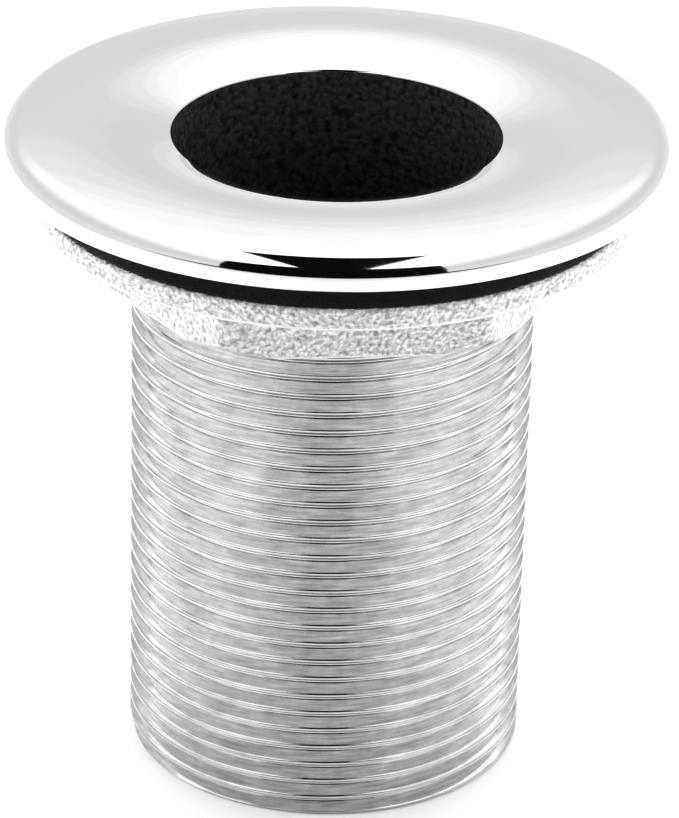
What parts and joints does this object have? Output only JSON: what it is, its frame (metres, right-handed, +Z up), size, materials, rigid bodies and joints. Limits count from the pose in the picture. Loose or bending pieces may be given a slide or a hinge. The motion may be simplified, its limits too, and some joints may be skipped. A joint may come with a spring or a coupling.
{
  "type": "thru hull fitting",
  "caption": "Mushroom-headed tube with an outside thread and a through bore that carries water through a boat's hull, clamped by a rubber gasket and a flanged hexagon nut.",
  "frame": {"origin": "on the tube's axis, in the plane of the flange's seating face", "axes": "+Z up the tube's axis and out of the polished face; the tube hangs towards -Z; X and Y are level, with the nut's most forward flat facing roughly -Y"},
  "size_m": [0.0784, 0.0784, 0.0801],
  "materials": {
    "stainless": "mirror-polished head, machined thread, as-cast bore",
    "rubber": "matte moulded",
    "cast_stainless": "bead-blasted casting"
  },
  "bodies": {
    "body": {"thru_hull_body": "stainless"},
    "seal": {"gasket": "rubber"},
    "nut": {"flange_nut": "cast_stainless"}
  },
  "joints": [
    {"name": "nut_advance", "type": "slide", "parent": "body", "child": "seal", "axis": [0, 0, -1], "range_m": [0, 0.06157]},
    {"name": "nut_turn", "type": "hinge", "parent": "seal", "child": "nut", "pos_m": [0, 0, 0], "axis": [0, 0, -1], "range_deg": [0, 9600]}
  ],
  "couplings": [
    {"joint": "nut_advance", "follows": "nut_turn", "m_per_rad": 0.00036749}
  ]
}
